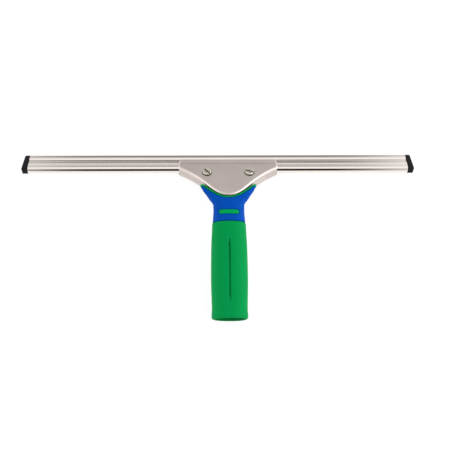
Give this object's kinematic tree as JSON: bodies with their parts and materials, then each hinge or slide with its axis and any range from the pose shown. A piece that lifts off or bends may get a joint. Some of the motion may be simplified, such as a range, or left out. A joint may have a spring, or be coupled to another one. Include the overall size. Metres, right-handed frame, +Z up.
{
  "type": "window cleaning squeegee",
  "caption": "Window squeegee: rubber blade in a folded steel channel, clamped between steel jaws on a bent two-part plastic grip with an open pole socket.",
  "frame": {"origin": "bottom centre of the tool's box as it lies face up on its grip end and blade tip", "axes": "+X along the channel, to the right seen from the grip; +Y from the grip towards the blade; +Z up, out of the front face"},
  "size_m": [0.3612, 0.1588, 0.0337],
  "materials": {
    "polished_steel": "bright rolled stainless",
    "satin_steel": "satin, fine grain",
    "screw_steel": "machined",
    "black_rubber": "matte",
    "black_plastic": "moulded, satin",
    "blue_plastic": "moulded, satin",
    "green_plastic": "moulded, satin",
    "green_grip": "soft thermoplastic rubber"
  },
  "bodies": {
    "handle": {"rear_jaw": "satin_steel", "left_clamp_nut": "screw_steel", "right_clamp_nut": "screw_steel", "socket_core": "green_plastic", "collar": "blue_plastic", "badge_inlay": "green_plastic", "grip_sleeve": "green_grip"},
    "front_jaw": {"front_jaw": "satin_steel"},
    "left_washer": {"left_screw_washer": "screw_steel"},
    "left_screw": {"left_clamp_screw": "screw_steel"},
    "right_washer": {"right_screw_washer": "screw_steel"},
    "right_screw": {"right_clamp_screw": "screw_steel"},
    "channel": {"channel": "polished_steel"},
    "blade": {"rubber_blade": "black_rubber"},
    "left_clip": {"left_end_clip": "black_plastic"},
    "right_clip": {"right_end_clip": "black_plastic"}
  },
  "joints": [
    {"name": "front_jaw_open", "type": "hinge", "parent": "handle", "child": "front_jaw", "pos_m": [0.0095, 0.02985, 0.02225], "axis": [1, 0, 0], "range_deg": [0, 2.4]},
    {"name": "left_washer_travel", "type": "slide", "parent": "handle", "child": "left_washer", "axis": [0, 0.3605, 0.9327], "range_m": [0, 0.00141]},
    {"name": "left_screw_turn", "type": "hinge", "parent": "left_washer", "child": "left_screw", "pos_m": [-0.00985, 0.05589, 0.01723], "axis": [0, 0.3605, 0.9327], "range_deg": [0, 720]},
    {"name": "right_washer_travel", "type": "slide", "parent": "handle", "child": "right_washer", "axis": [0, 0.3605, 0.9327], "range_m": [0, 0.00141]},
    {"name": "right_screw_turn", "type": "hinge", "parent": "right_washer", "child": "right_screw", "pos_m": [0.02885, 0.05589, 0.01723], "axis": [0, 0.3605, 0.9327], "range_deg": [0, 720]},
    {"name": "channel_slide", "type": "slide", "parent": "handle", "child": "channel", "axis": [1, 0, 0], "range_m": [-0.119, 0.138]},
    {"name": "blade_slide", "type": "slide", "parent": "channel", "child": "blade", "axis": [1, 0, 0], "range_m": [0, 0.3]},
    {"name": "left_clip_pull", "type": "slide", "parent": "channel", "child": "left_clip", "axis": [-1, 0, 0], "range_m": [0, 0.016]},
    {"name": "right_clip_pull", "type": "slide", "parent": "blade", "child": "right_clip", "axis": [1, 0, 0], "range_m": [0, 0.016]}
  ],
  "couplings": [
    {"joint": "left_screw_turn", "follows": "front_jaw_open", "ratio": 300},
    {"joint": "right_screw_turn", "follows": "front_jaw_open", "ratio": 300},
    {"joint": "left_washer_travel", "follows": "front_jaw_open", "m_per_rad": 0.033423},
    {"joint": "right_washer_travel", "follows": "front_jaw_open", "m_per_rad": 0.033423}
  ]
}
